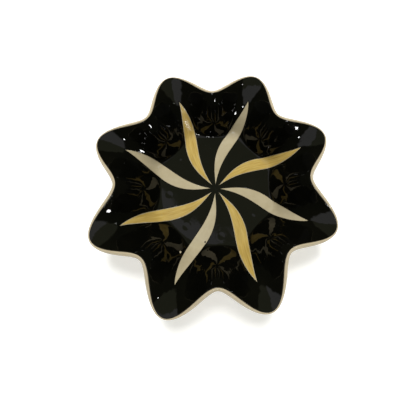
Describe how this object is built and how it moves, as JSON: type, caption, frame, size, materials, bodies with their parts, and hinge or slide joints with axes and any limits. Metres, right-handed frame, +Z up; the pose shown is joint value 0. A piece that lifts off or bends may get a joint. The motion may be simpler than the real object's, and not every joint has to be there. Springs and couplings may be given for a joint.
{
  "type": "fluted ceramic dish",
  "caption": "Low round glazed dish with a deeply fluted, lobed rim, a black lining with leaf-shaped windows swirling out from the middle, and a foot ring.",
  "frame": {"origin": "on the surface the dish stands on, below the middle of the dish", "axes": "+Z up along the dish's axis; +X and +Y each point at a notch of the rim, and the lobes lie at 22.5 degrees and every 45 degrees on"},
  "size_m": [0.2144, 0.2144, 0.0558],
  "materials": {
    "fired_clay": "bare fired clay, dry and slightly rough",
    "cream_glaze": "warm cream glaze, glossy",
    "cream_leaf_glaze": "greyish cream glaze, glossy, with pinholes",
    "black_glaze": "deep black glaze, mirror-glossy",
    "golden_wash": "golden ochre wash with lengthwise brush streaks, glossy"
  },
  "bodies": {
    "root": {"clay_body": "fired_clay", "foot_ring": "fired_clay", "cream_glaze": "cream_glaze", "black_glaze": "black_glaze", "cream_leaf_1": "cream_leaf_glaze", "cream_leaf_2": "cream_leaf_glaze", "cream_leaf_3": "cream_leaf_glaze", "cream_leaf_4": "cream_leaf_glaze", "leaf_base_1": "cream_leaf_glaze", "leaf_base_2": "cream_leaf_glaze", "leaf_base_3": "cream_leaf_glaze", "leaf_base_4": "cream_leaf_glaze", "golden_wash_1": "golden_wash", "golden_wash_2": "golden_wash", "golden_wash_3": "golden_wash", "golden_wash_4": "golden_wash"}
  },
  "joints": []
}
